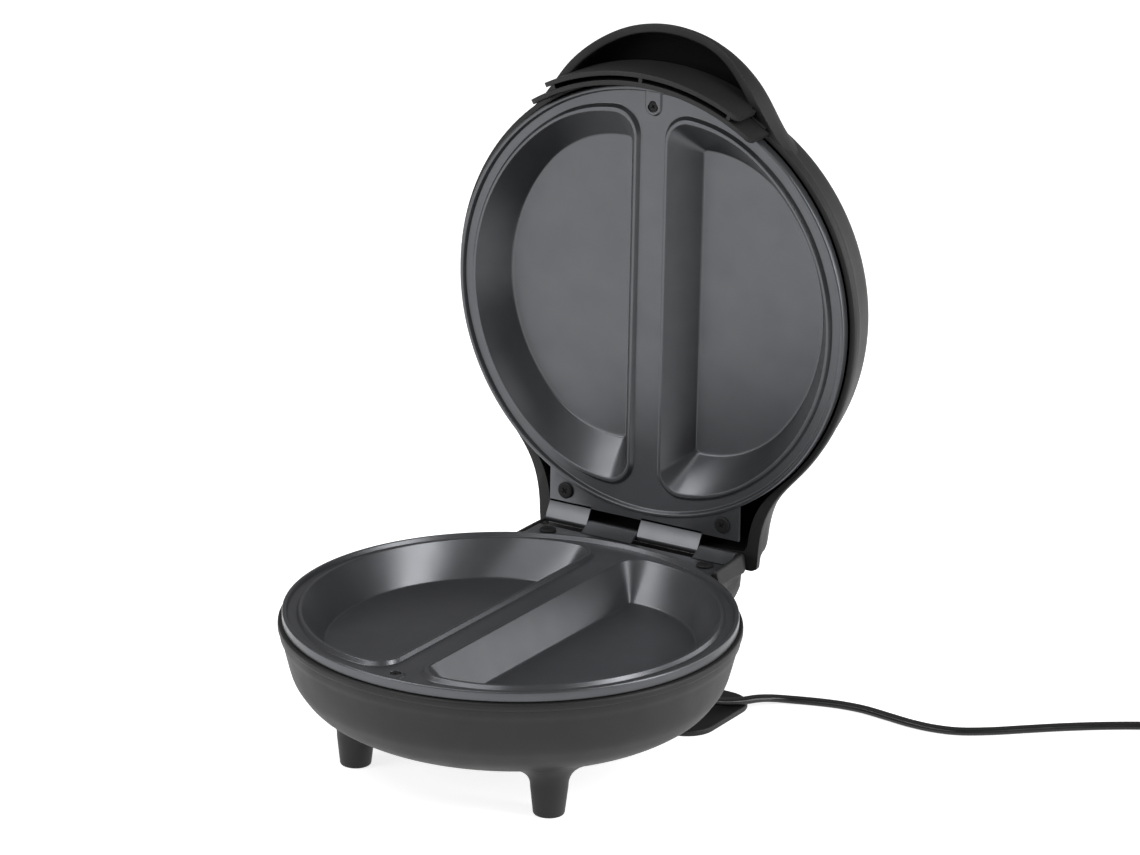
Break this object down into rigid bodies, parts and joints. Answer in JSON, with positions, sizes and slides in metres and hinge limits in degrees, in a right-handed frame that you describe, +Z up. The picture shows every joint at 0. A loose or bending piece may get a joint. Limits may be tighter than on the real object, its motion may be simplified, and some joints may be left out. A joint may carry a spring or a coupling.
{
  "type": "electric omelette maker",
  "caption": "Round hinged countertop cooker with half-moon pockets in coated plates, lid standing open, short legs, a cord-wrap foot, and a cord coiled beside it.",
  "frame": {"origin": "on the table top, in the middle between the left and right sides and between the front of the base and the back of the open lid", "axes": "+Z up, +Y to the rear where the hinge is, +X to the right as the cook sees it from the front"},
  "size_m": [0.4799, 0.3312, 0.3313],
  "materials": {
    "black_moulding": "fine matt black moulding",
    "coated_plate": "dark grey non-stick coating, semi-gloss",
    "black_screw": "black finish",
    "bright_steel": "bright zinc",
    "bare_aluminium": "rolled sheet",
    "element_sheath": "annealed heater sheath",
    "white_ceramic": "unglazed ceramic",
    "cord_sheath": "smooth black sheath",
    "wire_sleeve": "woven glass sleeve",
    "red_lens": "clear red",
    "green_lens": "clear green",
    "lamp_glass": "clear",
    "brass": "bright brass"
  },
  "bodies": {
    "base": {"base_shell": "black_moulding", "cord_wrap_plate": "black_moulding", "cord_wrap_screw_left": "bright_steel", "cord_wrap_screw_right": "bright_steel", "lower_plate": "coated_plate", "lower_screw_left": "black_screw", "lower_screw_right": "black_screw", "lower_screw_front": "black_screw", "hinge_pin": "bright_steel", "hinge_pin_cap_left": "black_screw", "hinge_pin_cap_right": "black_screw", "lower_element": "element_sheath", "lower_stud_left": "bright_steel", "lower_stud_right": "bright_steel", "lower_clip_left": "bright_steel", "lower_clip_right": "bright_steel", "lower_reflector": "bare_aluminium", "lower_thermostat": "white_ceramic", "terminal_block": "white_ceramic", "terminal_screw_1": "brass", "terminal_screw_2": "brass", "terminal_screw_3": "brass", "inner_cord": "cord_sheath", "cord_clamp": "white_ceramic", "cord_clamp_screw_left": "bright_steel", "cord_clamp_screw_right": "bright_steel", "base_wire_left": "wire_sleeve", "base_wire_right": "wire_sleeve", "cord_bushing": "cord_sheath", "cord_free": "cord_sheath", "cord_coil": "cord_sheath", "cord_tie": "black_screw", "plug_body": "cord_sheath", "plug_blade_a": "brass", "plug_blade_b": "brass"},
    "lid": {"lid_shell": "black_moulding", "grip_apron": "black_moulding", "upper_plate": "coated_plate", "upper_screw_left": "black_screw", "upper_screw_right": "black_screw", "upper_screw_front": "black_screw", "upper_element": "element_sheath", "upper_stud_left": "bright_steel", "upper_stud_right": "bright_steel", "upper_clip_left": "bright_steel", "upper_clip_right": "bright_steel", "upper_reflector": "bare_aluminium", "upper_thermal_fuse": "white_ceramic", "lens_red": "red_lens", "lens_green": "green_lens", "indicator_lamp_left": "lamp_glass", "indicator_lamp_right": "lamp_glass", "lamp_holder": "bright_steel", "lid_wire_left": "wire_sleeve", "lid_wire_right": "wire_sleeve"}
  },
  "joints": [
    {"name": "lid_hinge", "type": "hinge", "parent": "base", "child": "lid", "pos_m": [0, 0.0878, 0.0751], "axis": [1, 0, 0], "range_deg": [0, 90]}
  ]
}
